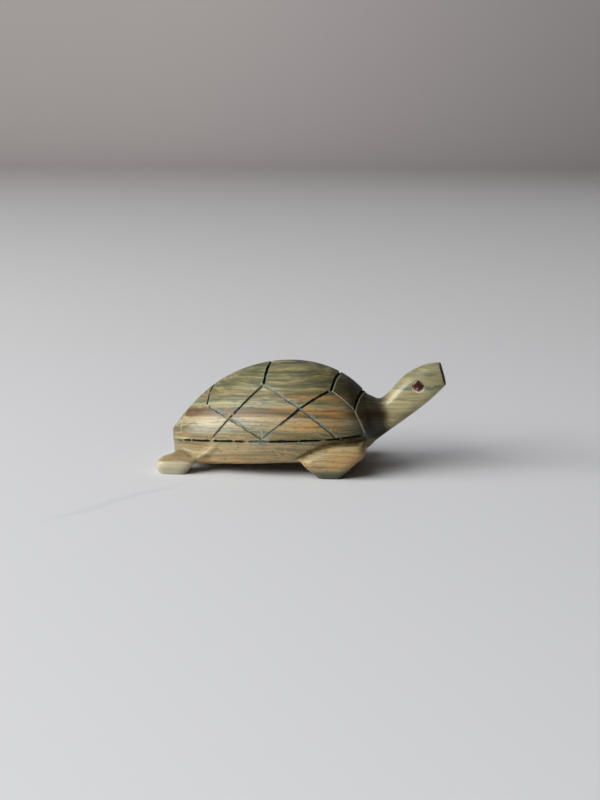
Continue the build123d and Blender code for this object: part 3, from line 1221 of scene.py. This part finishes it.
CUT_LINES = {
    "tail": CutLine(RIM_TAIL, RIDGE_TAIL, 0.28, 1.0, 0.25, Fill.BARE),
    "rear_cross": CutLine(FLANK_REAR, RIDGE_REAR, 0.62, 0.7, 0.5, Fill.SOOT, gaps=((0.45, 0.45),)),
    "middle_cross": CutLine(FLANK_MIDDLE, RIDGE_MIDDLE, 0.84, 1.05, 0.6, Fill.SOOT, -0.4, 0.3),
    "front_cross": CutLine(FLANK_FRONT, RIDGE_FRONT, 0.84, 0.9, 0.7, Fill.SOOT, 0.9, 0.3, 0.7),
    "nape_cross": CutLine(FLANK_NAPE, RIDGE_NAPE, 0.66, 1.1, 0.65, Fill.SOOT, 0.0, 0.3, 0.7),
    "rear_slant": CutLine(FLANK_REAR, RIM_MIDDLE, 1.2, 0.85, 0.5, Fill.DUST, 0.5, 0.6, blackness=0.5),
    "rear_cross_slant": CutLine(
        FLANK_MIDDLE, RIM_REAR, 1.0, 0.75, 0.6, Fill.SOOT, 0.4, 1.3, 0.2, 0.4, ((0.57, 0.5),), 0.72
    ),
    "front_cross_slant": CutLine(
        FLANK_MIDDLE, RIM_FRONT, 1.15, 0.9, 0.5, Fill.DUST, 0.5, 0.5, blackness=0.55
    ),
    "front_slant": CutLine(
        FLANK_FRONT, RIM_MIDDLE, 1.05, 0.66, 0.65, Fill.SOOT, -0.4, 0.2, 0.2, 1.0, blackness=0.85
    ),
    "nape_slant": CutLine(FLANK_FRONT, FLANK_NAPE, 0.33, 1.0, 0.4, Fill.BARE),
    "collar_slant": CutLine(FLANK_NAPE, RIM_NAPE, 0.36, 1.5, 0.4, Fill.BARE),
}


@dataclass(frozen=True)
class Chip:
    """A small pale spot where a cut has torn the wood or gathered dust."""

    level: float
    bearing: float
    radius: float
    bare: float
    dust: float
    core: float = 0.4

    def mark(self, distance: float) -> Mark:
        """How the spot marks a place at a distance from its middle."""
        share = smooth_step(self.radius, self.radius * self.core, distance)
        return Mark(0.0, 0.0, self.dust * share, self.bare * share)


CHIPS = (
    Chip(0.757, 112.0, 0.9, 0.45, 0.7),
    Chip(0.715, 108.6, 0.8, 0.40, 0.7),
    Chip(0.075, 101.0, 3.4, 0.0, 0.62),
    Chip(0.015, 98.0, 1.3, 0.4, 0.7),
    Chip(0.055, 54.0, 1.2, 0.4, 0.8),
    Chip(0.425, 147.0, 0.7, 0.5, 0.6),
    Chip(0.02, 30.0, 1.4, 0.0, 0.8),
    Chip(0.0, 26.0, 1.2, 0.0, 0.7),
)

# Where a cut gets its edge loops, in half widths from its middle
LOOP_SHARES = (-1.5, -1.0, -0.72, -0.3, 0.3, 0.72, 1.0, 1.5)


class CutFrame:
    """The directions of one cut on one side of the shell, with the small wander of a hand-held tool."""

    reach_over_ridge: float = 0.6
    reach_across: float = 1.6
    reach_beyond: float = 2.0
    reach_inward: float = 2.4
    end_slope: float = 0.8

    def __init__(self, line: CutLine, shell: ShellForm, side: Side, seed: float) -> None:
        """Works out the directions.

        Args:
            line: The cut.
            shell: The shell that it lies on.
            side: Which side.
            seed: Where its wander is read.
        """
        flip = Vector((1.0, -side, 1.0))
        self.line = line
        self.side = side
        self.seed = seed
        self.origin = shell.point(*line.start) * flip
        end = shell.point(*line.end) * flip
        middle = (self.origin + end) * 0.5
        self.length = (end - self.origin).length
        self.along = (end - self.origin).normalized()
        outward = middle - Vector((middle.x, 0.0, shell.rim_height))
        self.outward = (outward - self.along * outward.dot(self.along)).normalized()
        self.lateral = self.outward.cross(self.along)

    def local(self, place: Vector) -> tuple[float, float, float]:
        """A place as distances along the cut, across it and out of the shell."""
        offset = place - self.origin
        return offset.dot(self.along), offset.dot(self.lateral), offset.dot(self.outward)

    def near(self, place: Vector) -> bool:
        """Whether the cut can reach a place.

        Args:
            place: The place.

        Returns:
            True if it is close enough.
        """
        if place.y * self.side < -self.reach_over_ridge:
            return False
        u, v, w = self.local(place)
        beside = -self.reach_beyond < u < self.length + self.reach_beyond
        return abs(v) < self.reach_across and beside and w > -self.reach_inward

    def wander(self, u: float) -> float:
        """How far the tool has strayed sideways at a distance along the cut."""
        return stray(u * 0.11, self.seed, 0.0) * 0.26 + stray(u * 0.7, self.seed, 5.0) * 0.07

    def half_width(self, u: float) -> float:
        """Half the cut's width.

        Args:
            u: The distance along the cut.

        Returns:
            The half width there.
        """
        share = min(max(u / self.length, 0.0), 1.0)
        wear = 1.0 + 0.34 * stray(u * 0.45, self.seed, 9.0)
        wear += 0.34 * stray(u * 1.3, self.seed, 29.0)
        return 0.5 * self.line.width * (1.0 + (self.line.taper - 1.0) * share) * wear

    def straighten(self, place: Vector) -> Vector:
        """Moves a place to where the cut is straight and one unit wide on each side."""
        u, v, _ = self.local(place)
        return place + self.lateral * ((v - self.wander(u)) / self.half_width(u) - v)

    def bend(self, place: Vector) -> Vector:
        """Undoes straighten."""
        u, v, _ = self.local(place)
        return place + self.lateral * (v * self.half_width(u) + self.wander(u) - v)

    def run(self, u: float) -> float:
        """How fully the tool was in the wood.

        Args:
            u: The distance along the cut.

        Returns:
            A share from 0 beyond the ends and in the gaps to 1.
        """
        share = smooth_step(-self.line.start_over, self.end_slope, u)
        share *= smooth_step(self.length + self.line.end_over, self.length - self.end_slope, u)
        for middle, reach in self.line.gaps:
            share *= smooth_step(0.3 * reach, 1.3 * reach, abs(u - middle * self.length))
        return share

    def mark(self, place: Vector) -> Mark:
        """How the cut marks a place on the shell.

        Args:
            place: The place.

        Returns:
            The mark.
        """
        line = self.line
        u, v, _ = self.local(place)
        across = (v - self.wander(u)) / self.half_width(u)
        aside = abs(across)
        lower = across if self.lateral.z < 0.0 else -across
        front = across if self.lateral.x > 0.0 else -across
        run = self.run(u)
        wear = 0.86 + 0.2 * stray(u * 0.45, self.seed, 2.0)
        depth = line.depth * run * wear * smooth_step(1.0, 0.62, aside)
        within = run * smooth_step(1.15, 0.85, aside)
        patch = max(0.75 + 0.7 * stray(u * 0.4, self.seed, 14.0), 0.0)
        # Painted light: a pale lip along the cut's front edge, where its wall catches the light.
        lip = line.pale_lip * run * smooth_step(0.8, 1.05, front) * smooth_step(1.8, 1.3, front)
        # Pale cuts paint their lit wall as bare wood, with painted shade on the rear wall.
        if line.fill is Fill.BARE:
            shade = 0.35 * within * smooth_step(0.2, -0.5, front)
            return Mark(depth, shade, 0.0, run * smooth_step(1.5, 0.8, aside))
        if line.fill is Fill.DUST:
            edge = run * smooth_step(-0.8, -0.1, lower) * smooth_step(1.3, 0.9, lower)
            edge *= line.blackness + 0.4 * max(stray(u * 0.33, self.seed, 19.0), -0.5)
            dust = run * patch * smooth_step(-1.5, -0.9, lower) * smooth_step(0.8, 0.1, lower)
            return Mark(depth * (0.45 + 0.55 * smooth_step(0.0, 0.5, lower)), edge, dust, lip)
        fading = line.fade * smooth_step(0.55, 1.0, u / self.length)
        faded = fading * patch * smooth_step(1.4, 0.8, aside)
        spill = smooth_step(-0.10, 0.20, stray(u * 0.33, self.seed, 33.0))
        spilt = 0.6 * spill * run * smooth_step(2.9, 1.1, aside) * smooth_step(0.85, 1.0, aside)
        # Soot with painted shade in the cut's depth.
        greyed = 2.0 * within * (1.0 - line.blackness) * patch
        soot = within * line.blackness * (1.0 - fading)
        return Mark(depth * (1.0 - 0.4 * fading), soot, max(faded, spilt, greyed), lip)


@dataclass(frozen=True)
class RimCut:
    """The long cut round the shell at its rim, from one side of the neck round the tail to the other."""

    width: float = 0.76
    depth: float = 0.7
    end_x: float = 20.6
    end_slope: float = 2.4
    left_shift: float = 3.4
    reach_beyond: float = 1.0
    reach_across: float = 1.5
    tail_soot_and_shade: tuple[float, float] = (-42.3, -39.5)
    tail_depth: tuple[float, float] = (-42.0, -38.5)
    curve: Curve = Curve(
        (-43.5, 7.6), (-36.6, 9.4), (-22.0, 10.85), (-4.0, 11.6), (10.0, 11.9), (21.0, 12.15)
    )
    pale_gaps: tuple[Triple, ...] = (
        (-37.6, 0.5, 0.7),
        (-34.5, 0.3, 0.9),
        (-27.4, 0.8, 1.0),
        (-20.0, 0.45, 0.9),
        (-15.6, 0.8, 0.8),
        (0.6, 0.4, 0.4),
        (8.2, 1.3, 0.75),
        (13.4, 0.5, 0.6),
    )
    dust_spans: tuple[tuple[float, float], ...] = ((-17.0, -9.0), (-41.8, -38.6))
    span_slope: float = 1.2

    def by_side(self, place: Vector, right: float, left: float) -> float:
        """The one of two values that belongs to a place's side of the shell."""
        return right if place.y < 0.0 else left

    def shifted(self, place: Vector) -> float:
        """A place's X for the gaps and the dust, which lie further forward on the left side."""
        return place.x - self.by_side(place, 0.0, self.left_shift)

    def height(self, place: Vector) -> float:
        """The height of the cut's middle at a place on the wall."""
        lane = self.by_side(place, 0.0, 40.0)
        return self.curve.at(place.x)[0] + stray(place.x * 0.16, lane, 3.0) * 0.16

    def half_width(self, place: Vector) -> float:
        """Half the cut's width, which changes with every stroke of the tool.

        Args:
            place: A place on the wall.

        Returns:
            The half width there.
        """
        lane = self.by_side(place, 20.0, 60.0)
        stroke = 0.40 * stray(place.x * 0.30, lane, 1.0)
        stroke += 0.36 * stray(place.x * 0.9, lane, 6.0)
        return 0.5 * self.width * (1.0 + stroke) * (0.4 + 0.6 * self.opening(place, 1.9))

    def opening(self, place: Vector, spread: float) -> float:
        """How open the cut is at a place.

        Args:
            place: The place.
            spread: How far the pale gaps reach, as a multiple of their own reach.

        Returns:
            A share from 0 in the middle of a full gap to 1 away from all gaps.
        """
        share = 1.0
        for middle, reach, strength in self.pale_gaps:
            distance = abs(self.shifted(place) - middle)
            share *= 1.0 - strength * smooth_step(reach * spread, reach * 0.2, distance)
        return share

    def near(self, place: Vector) -> bool:
        """Whether the cut can reach a place."""
        beside = place.x < self.end_x + self.reach_beyond
        return beside and abs(place.z - self.height(place)) < self.reach_across

    def straighten(self, place: Vector) -> Vector:
        """Moves a place to where the cut is level and one unit wide on each side."""
        level = (place.z - self.height(place)) / self.half_width(place)
        return Vector((place.x, place.y, level))

    def bend(self, place: Vector) -> Vector:
        """Undoes straighten."""
        return Vector((place.x, place.y, self.height(place) + place.z * self.half_width(place)))

    def dust(self, place: Vector, lower: float) -> tuple[float, float]:
        """The polishing dust in the cut and the dust that has drifted onto the wall below it.

        Args:
            place: The place.
            lower: How far it is below the cut's middle, in half widths.

        Returns:
            How dusty the cut is there, and how dusty the place itself is.
        """
        x = self.shifted(place)
        lane = self.by_side(place, 0.0, 70.0)
        dusty = 0.0
        for low, high in self.dust_spans:
            inside = smooth_step(low - self.span_slope, low + self.span_slope, x)
            dusty = max(dusty, inside * smooth_step(high + self.span_slope, high - self.span_slope, x))
        patch = 0.6 + 0.8 * stray(place.x * 0.5, lane, 11.0)
        dusty = max(dusty * max(patch, 0.0), 0.5 * max(patch - 0.7, 0.0))
        if lower <= 0.0:
            return dusty, dusty * smooth_step(1.8, 0.8, -lower)
        drift = smooth_step(-18.0, -15.0, x) * smooth_step(8.0, 4.0, x)
        drift *= max(0.70 + 1.0 * stray(place.x * 0.45, lane, 17.0), 0.0)
        below = max(dusty * smooth_step(3.4, 0.8, lower), drift * smooth_step(0.7, 1.1, lower))
        return dusty, below * smooth_step(4.2, 1.6, lower)

    def mark(self, place: Vector) -> Mark:
        """How the cut marks a place on the wall.

        Args:
            place: The place.

        Returns:
            The mark.
        """
        lower = (self.height(place) - place.z) / self.half_width(place)
        across = abs(lower)
        run = smooth_step(self.end_x, self.end_x - self.end_slope, place.x)
        run *= 0.45 + 0.55 * smooth_step(*self.tail_soot_and_shade, place.x)
        run *= self.opening(place, 0.9)
        wear = 0.88 + 0.2 * stray(place.x * 0.4, self.by_side(place, 0.0, 70.0), 7.0)
        depth = self.depth * run * wear * smooth_step(1.0, 0.62, across)
        depth *= 0.2 + 0.8 * smooth_step(*self.tail_depth, place.x)
        dusty, dust = self.dust(place, lower)
        # The rim cut's dark fill: soot with painted shade in its depth.
        soot = run * smooth_step(1.15, 0.85, across) * (1.0 - 0.6 * dusty)
        return Mark(depth, soot, dust, 0.0)


def to_object(name: str, form: bmesh.types.BMesh) -> bpy.types.Object:
    """Puts a form in a new object of the scene.

    Args:
        name: The object's name.
        form: The form, which is freed.

    Returns:
        The object.
    """
    mesh = bpy.data.meshes.new(name)
    form.to_mesh(mesh)
    form.free()
    item = bpy.data.objects.new(name, mesh)
    bpy.context.scene.collection.objects.link(item)
    return item


def to_piece(
    name: str, form: bmesh.types.BMesh, sharp_angle: float, finish: bpy.types.Material
) -> bpy.types.Object:
    """Brings a form to metres and makes it a smooth piece with its sharp edges kept.

    Args:
        name: The piece's name.
        form: The form in millimetres, which is freed.
        sharp_angle: The angle in degrees from which an edge stays sharp.
        finish: The piece's material.

    Returns:
        The piece.
    """
    bmesh.ops.scale(form, vec=(METRES_PER_MM,) * 3, verts=form.verts)
    bmesh.ops.recalc_face_normals(form, faces=form.faces)
    for face in form.faces:
        face.smooth = True
    for edge in form.edges:
        edge.smooth = edge.calc_face_angle(0.0) < math.radians(sharp_angle)
    item = to_object(name, form)
    item.data.materials.append(finish)
    return item


def discard(item: bpy.types.Object) -> None:
    """Removes a working object and its mesh.

    Args:
        item: The object.
    """
    mesh = item.data
    bpy.data.objects.remove(item)
    bpy.data.meshes.remove(mesh)


def modified(item: bpy.types.Object) -> bmesh.types.BMesh:
    """The form that a working object's modifiers give.

    Args:
        item: The object, which is removed.

    Returns:
        The form.
    """
    graph = bpy.context.evaluated_depsgraph_get()
    mesh = bpy.data.meshes.new_from_object(item.evaluated_get(graph))
    discard(item)
    form = bmesh.new()
    form.from_mesh(mesh)
    bpy.data.meshes.remove(mesh)
    return form


@dataclass
class EyePeg:
    """A round peg with a low crown, glued in its socket. The hand-trimmed crown isn't quite round."""

    radius: float = 1.66
    shank: float = 2.55
    crown: float = 0.34
    crown_steps: int = 8
    crown_fullness: float = 0.8
    foot_share: float = 0.9
    foot_height: float = 0.18
    trim: float = 0.08
    trim_corners: float = 4.0
    trim_from: float = 0.8
    floor: float = 2.72
    mouth_radius: float = 1.72
    mouth_flare: float = 0.34
    mouth_depth: float = 0.3
    surface: float = 5.3
    sharp_angle: float = 50.0
    segments: int = 40

    def profile(self) -> list[tuple[float, float]]:
        """The half profile of the peg.

        Returns:
            Pairs of a distance from the axis and a height over the socket's floor.
        """
        points = [(0.0, 0.0), (self.radius * self.foot_share, 0.0)]
        points += [(self.radius, self.foot_height), (self.radius, self.shank - 0.1)]
        for step in range(self.crown_steps + 1):
            turn = math.radians(90.0 * step / self.crown_steps)
            rise = self.crown * math.sin(turn) ** self.crown_fullness
            points.append((self.radius * math.cos(turn), self.shank + rise))
        return points

    def turned(self, points: list[tuple[float, float]]) -> bmesh.types.BMesh:
        """Spins a half profile about the Z axis.

        Args:
            points: Pairs of a distance from the axis and a height.

        Returns:
            A closed form.
        """
        form = bmesh.new()
        verts = [form.verts.new((reach, 0.0, height)) for reach, height in points]
        edges = [form.edges.new(pair) for pair in zip(verts, verts[1:])]
        bmesh.ops.spin(
            form,
            geom=verts + edges,
            cent=ORIGIN,
            axis=UP,
            angle=math.tau,
            steps=self.segments,
            use_merge=True,
        )
        bmesh.ops.remove_doubles(form, verts=form.verts, dist=1e-4)
        bmesh.ops.recalc_face_normals(form, faces=form.faces)
        return form

    def stand(self, form: bmesh.types.BMesh, eye: Vector, side: Side) -> None:
        """Turns a form from the Z axis to one side of the head and puts it on the socket's floor.

        Args:
            form: The form.
            eye: The middle of the eyes.
            side: Which side.
        """
        turn = Matrix.Rotation(math.radians(-90.0 * side), 4, "X")
        place = Matrix.Translation((eye.x, side * self.floor, eye.z))
        bmesh.ops.transform(form, matrix=place @ turn, verts=form.verts)
        bmesh.ops.recalc_face_normals(form, faces=form.faces)

    def socket(self, eye: Vector, side: Side) -> bpy.types.Object:
        """Makes the drill that sinks the socket, flared at its mouth.

        Args:
            eye: The middle of the eyes.
            side: Which side.

        Returns:
            A working object.
        """
        mouth = self.surface - self.floor
        rim = self.mouth_radius
        flare = rim + 2.0 * self.mouth_flare
        points = [(0.0, -0.02), (rim, -0.02), (rim, mouth - self.mouth_depth)]
        points += [(flare, mouth + self.mouth_depth), (flare, mouth + 2.0), (0.0, mouth + 2.0)]
        form = self.turned(points)
        self.stand(form, eye, side)
        return to_object("socket_drill", form)

    def build(self, name: str, eye: Vector, side: Side, finish: bpy.types.Material) -> bpy.types.Object:
        """Makes the peg.

        Args:
            name: The piece's name.
            eye: The middle of the eyes.
            side: Which side.
            finish: Its material.

        Returns:
            The piece.
        """
        form = self.turned(self.profile())
        for vert in form.verts:
            if vert.co.z > self.shank * self.trim_from:
                turn = math.atan2(vert.co.y, vert.co.x)
                share = 1.0 - self.trim * (0.5 - 0.5 * math.cos(self.trim_corners * turn))
                vert.co.x *= share
                vert.co.y *= share
        self.stand(form, eye, side)
        return to_piece(name, form, self.sharp_angle, finish)


@dataclass
class CarvedBody:
    """The carved block: shell, belly, neck, head, legs and feet in one piece, with its cuts and sockets."""

    voxel: float = 0.5
    smoothing: int = 6
    sharp_angle: float = 42.0
    left_foot_shorter: float = 1.6
    seed_step: float = 3.7
    seed_side: float = 50.0
    shell: ShellForm = field(default_factory=ShellForm)
    neck: NeckForm = field(default_factory=NeckForm)
    rim_cut: RimCut = RimCut()
    scoop: HaunchScoop = HaunchScoop()
    crease: LegCrease = LegCrease()

    def rough_block(self) -> bmesh.types.BMesh:
        """Merges the forms into one skin and smooths it.

        Returns:
            The block.
        """
        forms = [self.shell.build(), self.neck.build()]
        for side in Side:
            shorter = self.left_foot_shorter if side is Side.LEFT else 0.0
            forms += [front_leg().build(side), hind_foot(shorter).build(side), thigh().build(side)]
        block = bmesh.new()
        for form in forms:
            mesh = bpy.data.meshes.new("form")
            form.to_mesh(mesh)
            form.free()
            block.from_mesh(mesh)
            bpy.data.meshes.remove(mesh)
        item = to_object("rough_block", block)
        remesh = item.modifiers.new("skin", "REMESH")
        remesh.mode = "VOXEL"
        remesh.voxel_size = self.voxel
        block = modified(item)
        every_way = {"use_axis_x": True, "use_axis_y": True, "use_axis_z": True}
        for _ in range(self.smoothing):
            bmesh.ops.smooth_vert(block, verts=block.verts, factor=0.5, **every_way)
        return block

    def gouge(self, block: bmesh.types.BMesh) -> None:
        """Hollows the wall over the hind feet and along the tops of the front legs.

        Args:
            block: The block.
        """
        block.normal_update()
        moves = []
        for vert in block.verts:
            sink = max(self.scoop.sink(vert.co, self.shell), self.crease.sink(vert.co, self.shell))
            moves.append((vert, vert.normal * sink))
        for vert, move in moves:
            vert.co -= move

    def saw(self, block: bmesh.types.BMesh, point: Vector, facing: Vector) -> None:
        """Saws the block off along a plane and closes the cut.

        Args:
            block: The block.
            point: A point of the plane.
            facing: Its direction, to the side that falls off.
        """
        geometry = list(block.verts) + list(block.edges) + list(block.faces)
        plane = {"plane_co": point, "plane_no": facing}
        sawn = bmesh.ops.bisect_plane(block, geom=geometry, dist=1e-5, clear_outer=True, **plane)
        edges = [item for item in sawn["geom_cut"] if isinstance(item, bmesh.types.BMEdge)]
        bmesh.ops.edgeloop_fill(block, edges=edges)

    def drill(self, block: bmesh.types.BMesh, peg: EyePeg) -> bmesh.types.BMesh:
        """Sinks the two eye sockets.

        Args:
            block: The block, which is freed.
            peg: The peg that gives the socket its size.

        Returns:
            The drilled block.
        """
        item = to_object("drilled_block", block)
        drills = [peg.socket(self.neck.eye(), side) for side in Side]
        for tool in drills:
            cutter = item.modifiers.new("socket", "BOOLEAN")
            cutter.operation = "DIFFERENCE"
            cutter.solver = "EXACT"
            cutter.object = tool
        drilled = modified(item)
        for tool in drills:
            discard(tool)
        return drilled

    def loop_cut(
        self, block: bmesh.types.BMesh, cut: Union[CutFrame, RimCut], point: Vector, facing: Vector
    ) -> None:
        """Adds the edge loops that a cut's walls and floor need.

        Args:
            block: The block.
            cut: The cut, which straightens the skin near it first.
            point: A point in the middle of the straightened cut.
            facing: The direction across it.
        """
        faces = {face for vert in block.verts if cut.near(vert.co) for face in vert.link_faces}
        verts = {vert for face in faces for vert in face.verts}
        edges = {edge for face in faces for edge in face.edges}
        for vert in verts:
            vert.co = cut.straighten(vert.co)
        geometry = list(verts) + list(edges) + list(faces)
        for share in LOOP_SHARES:
            plane = {"plane_co": point + facing * share, "plane_no": facing}
            geometry = bmesh.ops.bisect_plane(block, geom=geometry, dist=1e-4, **plane)["geom"]
        for item in geometry:
            if isinstance(item, bmesh.types.BMVert):
                item.co = cut.bend(item.co)

    def cut_frames(self) -> list[CutFrame]:
        """Lays the straight cuts out on both sides.

        Returns:
            The cuts, each on one side.
        """
        frames = []
        for number, line in enumerate(CUT_LINES.values()):
            for side in Side:
                seed = self.seed_step * number + self.seed_side * (side + 1)
                frames.append(CutFrame(line, self.shell, side, seed))
        return frames

    def chips(self) -> list[tuple[Vector, Chip]]:
        """Lays the pale spots out on both sides.

        Returns:
            Pairs of a place and a spot.
        """
        places = []
        for chip in CHIPS:
            spot = self.shell.point(chip.level, chip.bearing)
            places += [(spot, chip), (Vector((spot.x, -spot.y, spot.z)), chip)]
        return places

    def engrave(self, block: bmesh.types.BMesh) -> None:
        """Scores the shell's lines and keeps how dark and dusty each point is.

        Args:
            block: The block.
        """
        frames = self.cut_frames()
        for frame in frames:
            self.loop_cut(block, frame, frame.origin, frame.lateral)
        self.loop_cut(block, self.rim_cut, ORIGIN, UP)
        block.normal_update()
        layers = {name: block.verts.layers.float.new(name) for name in MARK_NAMES}
        chips = self.chips()
        moves = []
        for vert in block.verts:
            marks = [frame.mark(vert.co) for frame in frames if frame.near(vert.co)]
            if self.rim_cut.near(vert.co):
                marks.append(self.rim_cut.mark(vert.co))
            for spot, chip in chips:
                distance = (vert.co - spot).length
                if distance < chip.radius:
                    marks.append(chip.mark(distance))
            if marks:
                for name, layer in layers.items():
                    vert[layer] = max(getattr(mark, name) for mark in marks)
                moves.append((vert, vert.co - vert.normal * max(mark.depth for mark in marks)))
        for vert, place in moves:
            vert.co = place

    def build(self, name: str, peg: EyePeg, finish: bpy.types.Material) -> bpy.types.Object:
        """Makes the carved body.

        Args:
            name: The piece's name.
            peg: The eye peg that its sockets take.
            finish: Its material.

        Returns:
            The piece.
        """
        block = self.rough_block()
        self.gouge(block)
        lean = math.radians(self.neck.snout_lean)
        self.saw(block, self.neck.snout(), Vector((math.cos(lean), 0.0, math.sin(lean))))
        self.saw(block, ORIGIN, -UP)
        block = self.drill(block, peg)
        self.engrave(block)
        return to_piece(name, block, self.sharp_angle, finish)


@dataclass(frozen=True)
class Lamp:
    """A soft rectangular lamp: its direction and distance from the object, its size, power and tint."""

    name: str
    toward: Triple
    distance: float
    size: tuple[float, float]
    watts: float
    tint: Triple


LAMPS = (
    Lamp("window", (-0.805, -0.446, 0.391), 1.6, (1.9, 0.45), 36.0, (1.0, 0.99, 0.97)),
    Lamp("room", (-0.53, -0.47, 0.70), 2.0, (2.0, 1.6), 17.0, (1.0, 0.995, 0.985)),
    Lamp("skylight", (-0.42, 0.05, 0.90), 2.2, (2.0, 2.0), 11.0, (0.97, 0.985, 1.0)),
)


@dataclass
class Studio:
    """The table, the lamps for a window, the room and a skylight, and the camera at the photo's angle."""

    target: Triple = (-0.0015, 0.0, 0.021)
    azimuth: float = 6.5
    elevation: float = 9.5
    distance: float = 0.640
    lens: float = 90.0
    sensor: float = 36.0
    clip_start: float = 0.01
    air_level: float = 0.03
    air_tint: Triple = (0.95, 0.97, 1.0)
    near_edge: float = -1.6
    half_span: float = 3.0
    sweep_start: float = 1.9
    sweep_radius: float = 0.5
    sweep_steps: int = 24
    wall_top: float = 2.4

    def aim(self, name: str, data: bpy.types.ID, direction: Vector, distance: float) -> bpy.types.Object:
        """Adds a camera or lamp that looks at the object.

        Args:
            name: Its name.
            data: The camera's or lamp's own data.
            direction: The direction from the object to it.
            distance: How far away it is, in metres.

        Returns:
            The camera or lamp.
        """
        item = bpy.data.objects.new(name, data)
        item.location = Vector(self.target) + direction * distance
        item.rotation_euler = direction.to_track_quat("Z", "Y").to_euler()
        bpy.context.scene.collection.objects.link(item)
        return item

    def camera(self) -> None:
        """Adds the camera."""
        data = bpy.data.cameras.new("camera")
        data.lens = self.lens
        data.sensor_width = self.sensor
        data.clip_start = self.clip_start
        a, e = math.radians(self.azimuth), math.radians(self.elevation)
        direction = Vector((math.sin(a) * math.cos(e), -math.cos(a) * math.cos(e), math.sin(e)))
        bpy.context.scene.camera = self.aim("camera", data, direction, self.distance)

    def lamp(self, lamp: Lamp) -> None:
        """Adds a lamp.

        Args:
            lamp: What it is like.
        """
        data = bpy.data.lights.new(lamp.name, "AREA")
        data.shape = "RECTANGLE"
        data.size, data.size_y = lamp.size
        data.energy = lamp.watts
        data.color = lamp.tint
        self.aim(lamp.name, data, Vector(lamp.toward).normalized(), lamp.distance)

    def air(self) -> None:
        """Sets the even light of the room."""
        world = bpy.data.worlds.new("room")
        world.use_nodes = True
        background = world.node_tree.nodes["Background"]
        background.inputs["Color"].default_value = (*self.air_tint, 1.0)
        background.inputs["Strength"].default_value = self.air_level
        bpy.context.scene.world = world

    def sweep(self) -> list[tuple[float, float]]:
        """The side view of the table behind its near edge.

        Returns:
            Pairs of Y and Z, in metres.
        """
        points = [(self.sweep_start, 0.0)]
        for step in range(1, self.sweep_steps + 1):
            turn = math.radians(90.0 * step / self.sweep_steps)
            rise = self.sweep_radius * (1.0 - math.cos(turn))
            points.append((self.sweep_start + self.sweep_radius * math.sin(turn), rise))
        return points + [(self.sweep_start + self.sweep_radius, self.wall_top)]

    def table(self, finish: bpy.types.Material) -> bpy.types.Object:
        """Adds the table, swept up into a backdrop.

        Args:
            finish: Its material.

        Returns:
            The table.
        """
        form = bmesh.new()
        left = form.verts.new((-self.half_span, self.near_edge, 0.0))
        right = form.verts.new((self.half_span, self.near_edge, 0.0))
        edges = [form.edges.new((left, right))]
        for y, z in self.sweep():
            verts, edges = extruded(form, edges)
            for vert in verts:
                vert.co.y, vert.co.z = y, z
        bmesh.ops.recalc_face_normals(form, faces=form.faces)
        for face in form.faces:
            face.smooth = True
        if form.faces[:][0].normal.z < 0.0:
            bmesh.ops.reverse_faces(form, faces=form.faces)
        item = to_object("table", form)
        item.data.materials.append(finish)
        return item

    def build(self, finish: bpy.types.Material) -> bpy.types.Object:
        """Sets up the camera, lamps, air and table.

        Args:
            finish: The table's material.

        Returns:
            The table.
        """
        self.camera()
        for lamp in LAMPS:
            self.lamp(lamp)
        self.air()
        return self.table(finish)


def attach(piece: bpy.types.Object, node: str) -> None:
    """Lets a piece stand for a CAD node.

    Args:
        piece: The piece.
        node: The node that it replaces.
    """
    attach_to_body(piece, "root")
    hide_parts(node)
    triangles = sum(len(face.vertices) - 2 for face in piece.data.polygons)
    LOG.info("%s stands for %s: %d triangles", piece.name, node, triangles)


def main() -> None:
    """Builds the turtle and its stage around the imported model."""
    logging.basicConfig(level=logging.INFO, format="%(name)s: %(message)s")
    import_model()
    bpy.context.scene.view_settings.view_transform = "Standard"

    body = CarvedBody()
    peg = EyePeg()
    eye = body.neck.eye()
    table = Studio().build(TableFinish().material())
    LOG.info("%s set up", table.name)

    wood = CarvedWood(eye, body.neck.snout_lean, body.neck.snout_reach())
    attach(body.build("turtle_body", peg, wood.material()), "carved_body")
    eye_finish = EyeWood(eye).material()
    for name, side in (("right_eye", Side.RIGHT), ("left_eye", Side.LEFT)):
        attach(peg.build(name, eye, side, eye_finish), name + "_peg")


if __name__ == "__main__":
    main()
